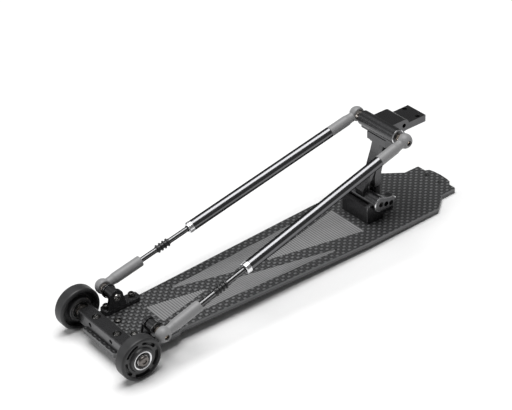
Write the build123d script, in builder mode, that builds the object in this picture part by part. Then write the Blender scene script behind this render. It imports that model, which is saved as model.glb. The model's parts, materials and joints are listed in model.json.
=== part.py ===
"""Wheelie bar of a radio-controlled drag car: deck, two wheels, two telescopic struts and a tower.

The deck is level and the wheels stand on Z = 0. +X runs from the wheels back to the tail of the deck,
+Y is the left side, and the part is mirror-symmetric about Y = 0. Lengths along the deck are stations,
measured back from the wheel axle, and heights are measured from the floor.
"""
from build123d import *
import math
import os

os.makedirs("parts", exist_ok=True)

# ---- wheels and axle ----
WHEEL_R = 12.5
TYRE_SEAT_R = 11.0
WHEEL_IN_Y = 24.9
WHEEL_OUT_Y = 32.3
HUB_OUT_Y = 33.0
HUB_R = 6.9
BEARING_R = 5.5
BEARING_BORE_R = 2.5
BEARING_W = 4.0
OUTER_RACE_WALL = 0.9
INNER_RACE_WALL = 0.9
BALL_COUNT = 8
SLOT_COUNT = 5
SLOT_IN_R = 8.5
SLOT_OUT_R = 10.3
SLOT_SWEEP = 46.0
WEB_SPAN_Y = (28.0, 31.4)
SLOT_FLOORS_Y = (29.1, 29.9)
SLOT_RUN_OUT = 0.5
SLOT_WALL = 0.2
RIM_INSET = 0.4
TYRE_SHOULDER = 1.0
RACE_FIT = 0.02
BALL_FIT = 0.08
SHIELD_INSET = 0.7
SHIELD_T = 0.2
SHIELD_GAP = 0.25
AXLE_R = BEARING_BORE_R - 0.03
AXLE_HEAD_R = 3.1
AXLE_HEAD_T = 1.3
HEX_ACROSS = 2.5
HEX_DEPTH = 1.6
AXLE_HEAD_CHAMFER = 0.3
SPACER_R = 3.6

# ---- deck ----
DECK_T = 2.8
DECK_TOP = 9.1
DECK_FRONT = -6.0
DECK_TAIL = 236.5
TAB_TAIL = 240.1
HALF_FRONT = 14.0
HALF_AXLE = 18.3
HALF_EAR = 21.4
HALF_WIDE = 25.3
HALF_TAIL = 16.2
TAPER_END = 162.0
WIDE_END = 214.3
TAIL_START = 225.8
POCKET_DEPTH = 1.3
PANEL_T = 1.2
PANEL_GAP = 0.15
DECK_SCREW = (11.7, 7.6)
SCREW_SHORT = 0.2
DECK_SCREW_SIZE = (2.1, 1.2, 1.2)
BLOCK_SCREW_SIZE = (2.25, 1.3, 1.25)
FOOT_SCREW_SIZE = (2.1, 1.9, 1.2)
HINGE_SCREW_SIZE = (2.1, 1.3, 1.2)
PANEL_CORNER_R = 0.7
DECK_CORNER_R = 0.8
TAIL_HOLE_X = 234.0
TAIL_HOLE_Y = 5.2
TAIL_HOLE_R = 1.6

# ---- axle block ----
BLOCK_HALF_X = 4.3
BLOCK_HALF_Y = 21.0
BLOCK_TOP = 16.6
BLOCK_HOLE_Y = 9.7
BLOCK_HOLE_R = 1.3
BLOCK_FRONT_HOLE_Z = 13.3
BLOCK_FRONT_HOLE_DEPTH = 2.4
BLOCK_CHAMFER = 0.5
COUNTERBORE_R = 2.35
COUNTERBORE_DEPTH = 1.1
AXLE_BORE_END_Y = 12.5
AXLE_END_Y = 13.0

# ---- struts ----
LOWER_BALL = (16.6, 28.0, 18.5)
UPPER_BALL = (191.6, 20.3, 61.5)
BALL_R = 2.9
CUP_GAP = 0.4
CUP_R = 4.4
CUP_MOUTH = 1.9
DRIVER_R = 1.5
NECK_START = 3.3
NECK_END = 8.0
NECK_R = 2.8
ROD_R = 1.5
TUBE_R = 3.15
TUBE_WALL = 0.8
BARREL_R = 3.15
LOWER_BARREL_END = 25.5
ROD_START = 12.5
ROD_FIT = 0.02
TUBE_FIT = 0.02
SPIGOT = 6.0
ROD_GUIDE_T = 8.0
ROD_GUIDE_END = 100.0
SLIDE_FIT = 0.06
GRIP_FIT = 0.01
BUMP_START = 36.0
BUMP_FIN_PITCH = 2.2
BUMP_FIN_T = 1.1
BUMP_FINS = 4
BUMP_R = 2.5
BUMP_CORE_R = 1.8
COLLAR_START = 57.6
COLLAR_T = 3.2
COLLAR_R = 3.35
COLLAR_PLUG = 5.0
COLLAR_CHAMFER = 0.35
COLLAR_MOUTH = (0.6, 1.0)
UPPER_BARREL = 20.5

# ---- ball brackets ----
LOBE_IN_Y = 14.4
LOBE_FACE_Y = LOBE_IN_Y + 0.3
LOBE_OUT_Y = 16.6
LOBE_FLARE = 1.6
LOBE_R = 4.3
BOSS_R = 3.6
BOSS_FLANGE_R = 4.2
BOSS_FLANGE_T = 1.1
BOSS_BORE_R = 1.3
FOOT_CORNER_R = 2.0
BOSS_END_Y = 23.0
FOOT_START = 8.8
FOOT_END = 32.0
FOOT_T = 2.8
FOOT_OUT_Y = 21.2
FOOT_SCREW_Y = 18.9
FOOT_SCREWS = (12.0, 28.4)
STUD_NECK_R = 1.45
STUD_FLANGE_R = 2.3
STUD_FLANGE_T = 0.8
STUD_SHANK_R = 1.25
STUD_HEAD_R = 2.2
STUD_HEAD_T = 1.4
STUD_HEX_R = 1.05
STUD_HEX_DEPTH = 0.9
UPPER_STUD_DEPTH = 8.0

# ---- tower and its hinge block ----
PIVOT = (179.9, 20.8)
HINGE_FRONT = 172.0
HINGE_BACK = 184.0
HINGE_FLOOR_BACK = 194.5
HINGE_FLOOR_HALF_Y = 8.0
HINGE_WALL = 3.2
HINGE_HALF_Y = 10.9
HINGE_EAR_T = 2.2
HINGE_TOP = 20.0
HINGE_SCREW_X = (178.5, 192.0)
HINGE_SCREW_Y = 6.0
CHEEK_T = 3.2
CHEEK_R = 4.6
CHEEK_CHAMFER = 0.5
GUSSET = (184.6, 189.2)
GUSSET_SPAN_Z = (21.4, 23.2)
GUSSET_REACH = 2.6
CHEEK_HOLE_R = 1.6
CHEEK_HOLES = ((179.9, 20.8), (183.7, 19.8), (187.5, 19.0))
PIN_R = 1.5
PIN_REACH = 1.6
PIN_CHAMFER = 0.2
HINGE_GAP = 0.15
FOOT_TUBE_FIT = 0.1
FOOT_TUBE_R = 4.3
TOWER_HALF_Y = 3.3
TOWER_WEB_HALF_Y = 1.5
CROSSBAR = (UPPER_BALL[0], UPPER_BALL[2])
CROSSBAR_R = 4.4
CROSSBAR_END_Y = 15.0
CROSSBAR_CHAMFER = 0.5
CROSSBAR_BORE_R = 1.27
HEAD_BOTTOM = 57.0
HEAD_TOP = 65.4
HEAD_HALF_Y = 8.0
HEAD_EYE = (202.4, 61.6)
HEAD_EYE_R = 3.8
HEAD_EYE_BORE_R = 1.3
LEDGE = (188.6, 199.0)
LEDGE_TOP = 60.4
LEDGE_HALF_Y = 13.0
FLANGE_TOP = 62.0
FLANGE_T = 4.3
FLANGE_HALF_Y = 7.5
FLANGE_END = 219.4
FLANGE_HOLE_X = 215.0
FLANGE_HOLE_Y = 5.4
FLANGE_HOLE_R = 1.3
SEAT = (188.2, 202.0)
SEAT_T = 4.6
SEAT_HALF_Y = 7.6
SEAT_SCREWS = (190.6, 199.4)
SEAT_SCREW_Y = 5.4
SEAT_SCREW_BORE_R = 1.1
SEAT_SCREW_SIZE = (1.9, 1.5, 1.05)
SEAT_SCREW_DEPTH = 2.4
RELIEF_CORNER_R = 0.6
HEEL = (184.6, 189.5)
HEEL_BOTTOM = 25.5
BUMPER_X = 187.2
BUMPER_R = 3.1
BUMPER_CHAMFER = 0.6
BUMPER_TOP = 25.2

AXLE_X = -(TAB_TAIL - WHEEL_R) / 2
SIDES = {"left": 1, "right": -1}


def station(distance, side_y=0.0, height=0.0):
    """Return the point at a station along the deck, a distance to the left, and a height."""
    return (AXLE_X + distance, side_y, height)


def finish(solid, name):
    """Label a finished piece and write its file."""
    solid.label = name
    export_step(solid, f"parts/{name}.step")


def profile_plane(side_y):
    """Return a side-view plane at a distance to the left: its x runs along the deck and its y up."""
    return Plane(origin=station(0, side_y), x_dir=(1, 0, 0), z_dir=(0, -1, 0))


def wheel_plane():
    """Return the plane through the axle whose x runs to the left and whose y runs up."""
    return Plane(origin=station(0, 0, WHEEL_R), x_dir=(0, 1, 0), z_dir=(1, 0, 0))


def axle_axis():
    """Return the axle's axis."""
    return Axis(station(0, 0, WHEEL_R), (0, 1, 0))


def cross_cylinder(x, height, near_y, far_y, radius, mode=Mode.ADD):
    """Add or cut a cylinder that lies across the deck, between two distances to the left."""
    middle = station(x, (near_y + far_y) / 2, height)
    with Locations(Plane(origin=middle, z_dir=(0, 1, 0))):
        Cylinder(radius, abs(far_y - near_y), mode=mode)


def upright_cylinder(x, side_y, bottom, top, radius, mode=Mode.ADD):
    """Add or cut a vertical cylinder."""
    with Locations(station(x, side_y, (bottom + top) / 2)):
        Cylinder(radius, top - bottom, mode=mode)


def hexagon(plane, radius):
    """Return a six-sided socket's outline on a plane."""
    with BuildSketch(plane) as socket:
        RegularPolygon(radius, 6)
    return socket.sketch


def button_screw(x, side_y, seat, size, depth):
    """Add a vertical button-head screw on a seat. Its size is head radius, head height and shank radius."""
    head_r, head_t, shank_r = size
    upright_cylinder(x, side_y, seat, seat + head_t, head_r)
    upright_cylinder(x, side_y, seat - depth, seat, shank_r)
    socket = hexagon(Plane(origin=station(x, side_y, seat + head_t)), head_r * 0.48)
    extrude(socket, amount=-head_t * 0.6, mode=Mode.SUBTRACT)


# ---- deck ----
def panel_corners(name):
    """Return a window panel's three corners as (station, side) pairs."""
    front = [(30.0, -8.4), (30.0, 8.4), (67.5, 0.0)]
    rear = [(104.4, 0.0), (167.0, -14.6), (167.0, 14.6)]
    left = [(47.5, 13.9), (149.5, 19.2), (85.5, 2.8)]
    right = [(x, -y) for x, y in left]
    return {"front": front, "rear": rear, "left": left, "right": right}[name]


def panel_sketch(name, height, inset):
    """Return one window panel's outline at a height, smaller all round by the inset."""
    with BuildSketch(Plane.XY.offset(height)) as panel:
        with BuildLine():
            Polyline([(AXLE_X + x, y) for x, y in panel_corners(name)], close=True)
        make_face()
        if inset > 0:
            offset(amount=-inset, kind=Kind.INTERSECTION)
        fillet(panel.vertices(), PANEL_CORNER_R)
    return panel.sketch


def deck_outline():
    """Return the left half of the deck's outline, from the front to the middle of the tail tab."""
    return [
        (DECK_FRONT, 0.0),
        (DECK_FRONT, HALF_FRONT),
        (-1.0, HALF_AXLE),
        (5.5, HALF_AXLE),
        (8.0, HALF_EAR),
        (31.0, HALF_EAR),
        (33.5, HALF_AXLE + 1.4),
        (TAPER_END, HALF_WIDE),
        (WIDE_END, HALF_WIDE),
        (TAIL_START, HALF_TAIL),
        (DECK_TAIL, HALF_TAIL),
        (DECK_TAIL, 10.0),
        (DECK_TAIL + 2.4, 8.8),
        (TAB_TAIL - 0.4, 5.5),
        (TAB_TAIL, 0.0),
    ]


def make_deck():
    """The carbon plate: tapered, with window pockets, ears under the ball brackets and a tail tab."""
    with BuildPart() as deck_plate:
        with BuildSketch(Plane.XY.offset(DECK_TOP - DECK_T)) as outline:
            with BuildLine():
                Polyline([(AXLE_X + x, y) for x, y in deck_outline()])
                mirror(about=Plane.XZ)
            make_face()
            fillet(outline.vertices().filter_by(lambda v: abs(v.Y) > 1.0), DECK_CORNER_R)
        extrude(amount=DECK_T)
        for name in ("front", "rear", "left", "right"):
            extrude(panel_sketch(name, DECK_TOP, 0.0), amount=-POCKET_DEPTH, mode=Mode.SUBTRACT)
        for side in SIDES.values():
            deck_hole(TAIL_HOLE_X, side * TAIL_HOLE_Y, TAIL_HOLE_R)
            deck_hole(0.0, side * BLOCK_HOLE_Y, BLOCK_HOLE_R)
            deck_hole(DECK_SCREW[0], side * DECK_SCREW[1], BLOCK_HOLE_R)
            for x in FOOT_SCREWS:
                deck_hole(x, side * FOOT_SCREW_Y, BLOCK_HOLE_R)
            for x in HINGE_SCREW_X:
                deck_hole(x, side * HINGE_SCREW_Y, BLOCK_HOLE_R)
    finish(deck_plate.part, "deck_plate")


def deck_hole(x, side_y, radius):
    """Drill a hole through the deck."""
    upright_cylinder(x, side_y, DECK_TOP - DECK_T - 1, DECK_TOP + 1, radius, Mode.SUBTRACT)


def make_window(name):
    """One thin window panel, bonded into its pocket just below the deck's top."""
    with BuildPart() as window:
        extrude(panel_sketch(name, DECK_TOP - POCKET_DEPTH, PANEL_GAP), amount=PANEL_T)
    finish(window.part, f"window_{name}")


def make_deck_screws():
    """Two small button screws through the deck behind the axle block."""
    with BuildPart() as deck_screws:
        for side in SIDES.values():
            button_screw(DECK_SCREW[0], side * DECK_SCREW[1], DECK_TOP, DECK_SCREW_SIZE, DECK_T - SCREW_SHORT)
    finish(deck_screws.part, "deck_screws")


# ---- axle block ----
def make_axle_block():
    """The bar that carries both axles, bolted down to the front of the deck."""
    with BuildPart() as axle_block:
        with BuildSketch(Plane(origin=station(0, 0, DECK_TOP))):
            Rectangle(2 * BLOCK_HALF_X, 2 * BLOCK_HALF_Y)
        extrude(amount=BLOCK_TOP - DECK_TOP)
        chamfer(axle_block.faces().sort_by(Axis.Z)[-1].edges(), BLOCK_CHAMFER)
        for side in SIDES.values():
            mouth_y = side * (BLOCK_HALF_Y + 1)
            cross_cylinder(0, WHEEL_R, side * AXLE_BORE_END_Y, mouth_y, BEARING_BORE_R, Mode.SUBTRACT)
            block_bores(side * BLOCK_HOLE_Y)
    finish(axle_block.part, "axle_block")


def block_bores(side_y):
    """Cut one counterbored hold-down hole and one blind accessory hole in the axle block."""
    upright_cylinder(0, side_y, DECK_TOP - 1, BLOCK_TOP + 1, BLOCK_HOLE_R, Mode.SUBTRACT)
    upright_cylinder(0, side_y, BLOCK_TOP - COUNTERBORE_DEPTH, BLOCK_TOP + 1, COUNTERBORE_R, Mode.SUBTRACT)
    with Locations(Plane(origin=station(-BLOCK_HALF_X, side_y, BLOCK_FRONT_HOLE_Z), z_dir=(1, 0, 0))):
        Cylinder(BLOCK_HOLE_R, 2 * BLOCK_FRONT_HOLE_DEPTH, mode=Mode.SUBTRACT)


def make_block_screws():
    """The two screws that hold the axle block to the deck."""
    with BuildPart() as block_screws:
        for side in SIDES.values():
            seat = BLOCK_TOP - COUNTERBORE_DEPTH
            depth = seat - DECK_TOP + DECK_T - SCREW_SHORT
            button_screw(0, side * BLOCK_HOLE_Y, seat, BLOCK_SCREW_SIZE, depth)
    finish(block_screws.part, "axle_block_screws")


# ---- wheels ----
def ring(name, side, spans, inner_r, outer_r):
    """Write a piece made of one or more rings around the axle, each over a span of distance outwards."""
    with BuildPart() as rings:
        for near, far in spans:
            cross_cylinder(0, WHEEL_R, side * near, side * far, outer_r)
            cross_cylinder(0, WHEEL_R, side * near, side * far, inner_r, Mode.SUBTRACT)
    finish(rings.part, name)


def bearing_spans():
    """Return where the inner and the outer bearing sit along the axle."""
    return [(WHEEL_IN_Y, WHEEL_IN_Y + BEARING_W), (HUB_OUT_Y - BEARING_W, HUB_OUT_Y)]


def make_rim(name, side):
    """The wheel centre: a hub for two bearings, a web with blind curved slots, and the tyre seat."""
    outline = [
        (WHEEL_IN_Y, BEARING_R),
        (WHEEL_IN_Y, HUB_R - RIM_INSET),
        (WHEEL_IN_Y + RIM_INSET, HUB_R),
        (WEB_SPAN_Y[0], HUB_R + 0.3),
        (WEB_SPAN_Y[0], SLOT_OUT_R),
        (WHEEL_IN_Y + RIM_INSET, SLOT_OUT_R + SLOT_WALL),
        (WHEEL_IN_Y + RIM_INSET, TYRE_SEAT_R),
        (WHEEL_OUT_Y - RIM_INSET, TYRE_SEAT_R),
        (WHEEL_OUT_Y - RIM_INSET, SLOT_OUT_R + SLOT_WALL),
        (WEB_SPAN_Y[1], SLOT_OUT_R),
        (WEB_SPAN_Y[1], HUB_R + 0.5),
        (HUB_OUT_Y - RIM_INSET, HUB_R),
        (HUB_OUT_Y, HUB_R - RIM_INSET),
        (HUB_OUT_Y, BEARING_R),
    ]
    with BuildPart() as rim:
        with BuildSketch(wheel_plane()):
            with BuildLine():
                Polyline([(side * y, r) for y, r in outline], close=True)
            make_face()
        revolve(axis=axle_axis())
        cuts = [(SLOT_FLOORS_Y[0], WEB_SPAN_Y[0] - SLOT_RUN_OUT), (WEB_SPAN_Y[1], SLOT_FLOORS_Y[1])]
        for index in range(SLOT_COUNT):
            middle = index * 360.0 / SLOT_COUNT + 90.0
            for near, far in cuts:
                extrude(slot_outline(side, middle, near), amount=near - far, mode=Mode.SUBTRACT)
    finish(rim.part, f"rim_{name}")


def slot_outline(side, middle, face_y):
    """Return one curved slot of the wheel's web, centred on an angle, at a distance from the middle."""
    mid_r = (SLOT_IN_R + SLOT_OUT_R) / 2
    face = Plane(origin=station(0, side * face_y, WHEEL_R), x_dir=(1, 0, 0), z_dir=(0, -side, 0))
    with BuildSketch(face) as slot:
        with BuildLine() as path:
            CenterArc((0, 0), mid_r, middle - SLOT_SWEEP / 2, SLOT_SWEEP)
        SlotArc(path.wire(), SLOT_OUT_R - SLOT_IN_R)
    return slot.sketch


def make_tyre(name, side):
    """The plain tyre band, with rounded shoulders."""
    with BuildPart() as tyre:
        with BuildSketch(wheel_plane()) as section:
            with Locations((side * (WHEEL_IN_Y + WHEEL_OUT_Y) / 2, (TYRE_SEAT_R + WHEEL_R) / 2)):
                Rectangle(WHEEL_OUT_Y - WHEEL_IN_Y, WHEEL_R - TYRE_SEAT_R)
            fillet(section.vertices().group_by(Axis.Y)[-1], TYRE_SHOULDER)
        revolve(axis=axle_axis())
    finish(tyre.part, f"tyre_{name}")


def make_balls(name, side):
    """The balls of a wheel's two bearings."""
    pitch_r = (BEARING_R - OUTER_RACE_WALL + BEARING_BORE_R + INNER_RACE_WALL) / 2
    ball_r = (BEARING_R - OUTER_RACE_WALL - BEARING_BORE_R - INNER_RACE_WALL) / 2 - BALL_FIT
    with BuildPart() as bearing_balls:
        for near, far in bearing_spans():
            middle = Plane(origin=station(0, side * (near + far) / 2, WHEEL_R), z_dir=(0, 1, 0))
            with Locations(middle):
                with PolarLocations(pitch_r, BALL_COUNT):
                    Sphere(ball_r)
    finish(bearing_balls.part, f"bearing_balls_{name}")


def make_wheel(name, side):
    """Every piece of one wheel and its axle."""
    make_rim(name, side)
    make_tyre(name, side)
    outer_in_r = BEARING_R - OUTER_RACE_WALL
    inner_out_r = BEARING_BORE_R + INNER_RACE_WALL
    ring(f"bearing_outer_races_{name}", side, bearing_spans(), outer_in_r, BEARING_R - RACE_FIT)
    ring(f"bearing_inner_races_{name}", side, bearing_spans(), BEARING_BORE_R, inner_out_r)
    shield_end = SHIELD_INSET + SHIELD_T
    shields = [(near + SHIELD_INSET, near + shield_end) for near, far in bearing_spans()]
    shields += [(far - shield_end, far - SHIELD_INSET) for near, far in bearing_spans()]
    ring(f"bearing_shields_{name}", side, shields, inner_out_r + SHIELD_GAP, outer_in_r)
    make_balls(name, side)
    ring(f"wheel_spacer_{name}", side, [(BLOCK_HALF_Y, WHEEL_IN_Y)], BEARING_BORE_R, SPACER_R)
    make_axle_bolt(name, side)


def make_axle_bolt(name, side):
    """The shouldered bolt that is one wheel's axle."""
    with BuildPart() as axle_bolt:
        cross_cylinder(0, WHEEL_R, side * AXLE_END_Y, side * HUB_OUT_Y, AXLE_R)
        cross_cylinder(0, WHEEL_R, side * HUB_OUT_Y, side * (HUB_OUT_Y + AXLE_HEAD_T), AXLE_HEAD_R)
        chamfer(axle_bolt.faces().sort_by(Axis.Y)[-1 if side > 0 else 0].edges(), AXLE_HEAD_CHAMFER)
        head_end = Plane(origin=station(0, side * (HUB_OUT_Y + AXLE_HEAD_T), WHEEL_R), z_dir=(0, -side, 0))
        extrude(hexagon(head_end, HEX_ACROSS / math.sqrt(3)), amount=HEX_DEPTH, mode=Mode.SUBTRACT)
    finish(axle_bolt.part, f"axle_bolt_{name}")


# ---- ball brackets ----
def make_ball_bracket(name, side):
    """The bracket on the deck that carries a strut's lower ball."""
    x, _, height = LOWER_BALL
    with BuildPart() as bracket:
        foot_length = FOOT_END - FOOT_START
        foot_y = side * (LOBE_IN_Y + FOOT_OUT_Y) / 2
        with BuildSketch(Plane(origin=station((FOOT_START + FOOT_END) / 2, foot_y, DECK_TOP))):
            RectangleRounded(foot_length, FOOT_OUT_Y - LOBE_IN_Y, FOOT_CORNER_R)
        extrude(amount=FOOT_T)
        with BuildSketch(profile_plane(side * LOBE_FACE_Y)):
            with Locations((x, height)):
                Circle(LOBE_R)
            with BuildLine():
                Polyline(
                    (x - LOBE_R, height),
                    (x - LOBE_R - LOBE_FLARE, DECK_TOP + FOOT_T),
                    (x + LOBE_R + LOBE_FLARE, DECK_TOP + FOOT_T),
                    (x + LOBE_R, height),
                    close=True,
                )
            make_face()
        extrude(amount=-side * (LOBE_OUT_Y - LOBE_FACE_Y))
        cross_cylinder(x, height, side * LOBE_OUT_Y, side * BOSS_END_Y, BOSS_R)
        cross_cylinder(x, height, side * (BOSS_END_Y - BOSS_FLANGE_T), side * BOSS_END_Y, BOSS_FLANGE_R)
        cross_cylinder(x, height, side * (LOBE_IN_Y - 1), side * (BOSS_END_Y + 1), BOSS_BORE_R, Mode.SUBTRACT)
        for screw_x in FOOT_SCREWS:
            top = DECK_TOP + FOOT_T + 1
            upright_cylinder(screw_x, side * FOOT_SCREW_Y, DECK_TOP - 1, top, BLOCK_HOLE_R, Mode.SUBTRACT)
    finish(bracket.part, f"ball_bracket_{name}")


def make_bracket_screws():
    """The four screws that hold the ball brackets to the deck."""
    with BuildPart() as bracket_screws:
        for side in SIDES.values():
            for x in FOOT_SCREWS:
                depth = FOOT_T + DECK_T - SCREW_SHORT
                button_screw(x, side * FOOT_SCREW_Y, DECK_TOP + FOOT_T, FOOT_SCREW_SIZE, depth)
    finish(bracket_screws.part, "bracket_screws")


def make_stud(name, side, ball, seat_y, shank_end_y):
    """A ball stud: a steel ball on a neck, a flange, and a shank that runs inboard."""
    x, ball_y, height = ball
    with BuildPart() as stud:
        with Locations(station(x, side * ball_y, height)):
            Sphere(BALL_R)
        cross_cylinder(x, height, side * seat_y, side * ball_y, STUD_NECK_R)
        cross_cylinder(x, height, side * seat_y, side * (seat_y + STUD_FLANGE_T), STUD_FLANGE_R)
        cross_cylinder(x, height, side * shank_end_y, side * seat_y, STUD_SHANK_R)
    finish(stud.part, name)


def make_stud_nuts():
    """The button heads inboard of the ball brackets that pull the lower studs tight."""
    x, _, height = LOWER_BALL
    with BuildPart() as stud_nuts:
        for side in SIDES.values():
            head_y = side * (LOBE_FACE_Y - STUD_HEAD_T)
            cross_cylinder(x, height, head_y, side * LOBE_FACE_Y, STUD_HEAD_R)
            socket = Plane(origin=station(x, head_y, height), z_dir=(0, side, 0))
            extrude(hexagon(socket, STUD_HEX_R), amount=STUD_HEX_DEPTH, mode=Mode.SUBTRACT)
    finish(stud_nuts.part, "stud_nuts")


# ---- struts ----
def strut_line(side):
    """Return a strut's lower end and its unit direction, from the lower ball to the upper one."""
    x, side_y, height = LOWER_BALL
    start = Vector(*station(x, side * side_y, height))
    x, side_y, height = UPPER_BALL
    end = Vector(*station(x, side * side_y, height))
    return start, (end - start).normalized()


def strut_length():
    """Return the distance between a strut's two balls at rest."""
    return math.dist(LOWER_BALL, UPPER_BALL)


def strut_cylinder(side, start, end, radius, mode=Mode.ADD):
    """Add or cut a cylinder along a strut, between two distances from its lower ball."""
    origin, direction = strut_line(side)
    middle = origin + direction * ((start + end) / 2)
    with Locations(Plane(origin=middle, z_dir=direction)):
        Cylinder(radius, end - start, mode=mode)


def cup_section(side, ball):
    """Return the section of a ball cup, which is open inboard and has a driver hole at its outer pole."""
    x, ball_y, height = ball
    socket_r = BALL_R + CUP_GAP
    centre = station(x, side * ball_y, height)
    with BuildSketch(Plane(origin=centre, x_dir=(0, side, 0), z_dir=(1, 0, 0))) as section:
        with BuildLine():
            mouth = [(-CUP_MOUTH, math.sqrt(r * r - CUP_MOUTH * CUP_MOUTH)) for r in (CUP_R, socket_r)]
            pole = [(math.sqrt(r * r - DRIVER_R * DRIVER_R), DRIVER_R) for r in (CUP_R, socket_r)]
            ThreePointArc(mouth[0], (0, CUP_R), pole[0])
            Line(pole[0], pole[1])
            ThreePointArc(pole[1], (0, socket_r), mouth[1])
            Line(mouth[1], mouth[0])
        make_face()
    return section.sketch


def cup_axis(side, ball):
    """Return the axis across the deck through a strut's ball."""
    x, ball_y, height = ball
    return Axis(station(x, side * ball_y, height), (0, 1, 0))


def strut_neck(side, start, end, start_r, end_r):
    """Add a cone along a strut, between two distances from its lower ball."""
    origin, direction = strut_line(side)
    middle = origin + direction * ((start + end) / 2)
    with Locations(Plane(origin=middle, z_dir=direction)):
        Cone(start_r, end_r, end - start)


def make_lower_rod_end(name, side):
    """The moulded end at the deck: a ball cup and a threaded barrel."""
    with BuildPart() as rod_end:
        revolve(cup_section(side, LOWER_BALL), axis=cup_axis(side, LOWER_BALL))
        strut_neck(side, NECK_START, NECK_END, NECK_R, BARREL_R)
        strut_cylinder(side, NECK_END, LOWER_BARREL_END, BARREL_R)
        strut_cylinder(side, ROD_START - 0.5, LOWER_BARREL_END + 1, ROD_R + ROD_FIT, Mode.SUBTRACT)
    finish(rod_end.part, f"lower_rod_end_{name}")


def make_upper_rod_end(name, side):
    """The moulded end at the tower: a ball cup, a barrel and the spigot that plugs the tube."""
    length = strut_length()
    tube_end = length - UPPER_BARREL
    with BuildPart() as rod_end:
        revolve(cup_section(side, UPPER_BALL), axis=cup_axis(side, UPPER_BALL))
        strut_neck(side, length - NECK_END, length - NECK_START, BARREL_R, NECK_R)
        strut_cylinder(side, tube_end, length - NECK_END, BARREL_R)
        strut_cylinder(side, tube_end - SPIGOT, tube_end, TUBE_R - TUBE_WALL - TUBE_FIT)
    finish(rod_end.part, f"upper_rod_end_{name}")


def make_rod(name, side):
    """The steel rod that slides in the tube."""
    with BuildPart() as rod:
        strut_cylinder(side, ROD_START, ROD_GUIDE_END, ROD_R)
    finish(rod.part, f"strut_rod_{name}")


def make_rod_guide(name, side):
    """The guide on the rod's end, which runs inside the tube."""
    with BuildPart() as guide:
        start = ROD_GUIDE_END - ROD_GUIDE_T
        strut_cylinder(side, start, ROD_GUIDE_END, TUBE_R - TUBE_WALL - SLIDE_FIT)
        strut_cylinder(side, start, ROD_GUIDE_END, ROD_R + GRIP_FIT, Mode.SUBTRACT)
    finish(guide.part, f"rod_guide_{name}")


def make_bump_stop(name, side):
    """The ribbed rubber stop on the rod, which meets the collar when the strut is fully closed."""
    length = BUMP_FINS * BUMP_FIN_PITCH
    with BuildPart() as bump_stop:
        strut_cylinder(side, BUMP_START, BUMP_START + length, BUMP_CORE_R)
        for index in range(BUMP_FINS):
            start = BUMP_START + (index + 0.25) * BUMP_FIN_PITCH
            strut_cylinder(side, start, start + BUMP_FIN_T, BUMP_R)
        strut_cylinder(side, BUMP_START, BUMP_START + length, ROD_R + GRIP_FIT, Mode.SUBTRACT)
    finish(bump_stop.part, f"bump_stop_{name}")


def make_collar(name, side):
    """The bright collar at the tube's mouth, which the rod slides through."""
    tube_start = COLLAR_START + COLLAR_T
    with BuildPart() as collar:
        strut_cylinder(side, COLLAR_START, tube_start, COLLAR_R)
        strut_cylinder(side, tube_start, tube_start + COLLAR_PLUG, TUBE_R - TUBE_WALL - TUBE_FIT)
        chamfer(collar.faces().sort_by(Axis.X)[0].edges(), COLLAR_CHAMFER)
        plug_end = tube_start + COLLAR_PLUG
        mouth_wider, mouth_depth = COLLAR_MOUTH
        strut_cylinder(side, COLLAR_START - 1, plug_end + 1, ROD_R + SLIDE_FIT, Mode.SUBTRACT)
        mouth_end = COLLAR_START + mouth_depth
        strut_cylinder(side, COLLAR_START - 1, mouth_end, ROD_R + mouth_wider, Mode.SUBTRACT)
    finish(collar.part, f"strut_collar_{name}")


def make_tube(name, side):
    """The thin-walled strut tube."""
    start = COLLAR_START + COLLAR_T
    end = strut_length() - UPPER_BARREL
    with BuildPart() as tube:
        strut_cylinder(side, start, end, TUBE_R)
        strut_cylinder(side, start, end, TUBE_R - TUBE_WALL, Mode.SUBTRACT)
    finish(tube.part, f"strut_tube_{name}")


def make_strut(name, side):
    """Every piece of one strut, and the two studs it is held by."""
    make_lower_rod_end(name, side)
    make_rod(name, side)
    make_rod_guide(name, side)
    make_bump_stop(name, side)
    make_collar(name, side)
    make_tube(name, side)
    make_upper_rod_end(name, side)
    make_stud(f"lower_ball_stud_{name}", side, LOWER_BALL, BOSS_END_Y, LOBE_FACE_Y)
    make_stud(f"upper_ball_stud_{name}", side, UPPER_BALL, CROSSBAR_END_Y, CROSSBAR_END_Y - UPPER_STUD_DEPTH)


# ---- tower ----
def make_hinge_block():
    """The block on the deck that the tower pivots in: a front wall, a floor and two ears."""
    x, height = PIVOT
    with BuildPart() as hinge_block:
        box_between((HINGE_FRONT, HINGE_FRONT + HINGE_WALL), HINGE_HALF_Y, (DECK_TOP, HINGE_TOP))
        box_between((HINGE_FRONT, HINGE_BACK), HINGE_HALF_Y, (DECK_TOP, DECK_TOP + HINGE_WALL))
        box_between((HINGE_BACK, HINGE_FLOOR_BACK), HINGE_FLOOR_HALF_Y, (DECK_TOP, DECK_TOP + HINGE_WALL))
        for side in SIDES.values():
            outer = side * HINGE_HALF_Y
            with BuildSketch(profile_plane(outer)):
                with Locations((x, height)):
                    Circle(FOOT_TUBE_R)
                with BuildLine():
                    Polyline(
                        (HINGE_FRONT, DECK_TOP),
                        (HINGE_FRONT, HINGE_TOP),
                        (x - FOOT_TUBE_R, height),
                        (x + FOOT_TUBE_R, height),
                        (x + FOOT_TUBE_R, DECK_TOP),
                        close=True,
                    )
                make_face()
            extrude(amount=side * HINGE_EAR_T)
        cross_cylinder(x, height, HINGE_HALF_Y + 1, -HINGE_HALF_Y - 1, PIN_R + ROD_FIT, Mode.SUBTRACT)
        for side in SIDES.values():
            for screw_x in HINGE_SCREW_X:
                top = DECK_TOP + HINGE_WALL + 1
                screw_y = side * HINGE_SCREW_Y
                upright_cylinder(screw_x, screw_y, DECK_TOP - 1, top, BLOCK_HOLE_R, Mode.SUBTRACT)
    finish(hinge_block.part, "hinge_block")


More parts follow.
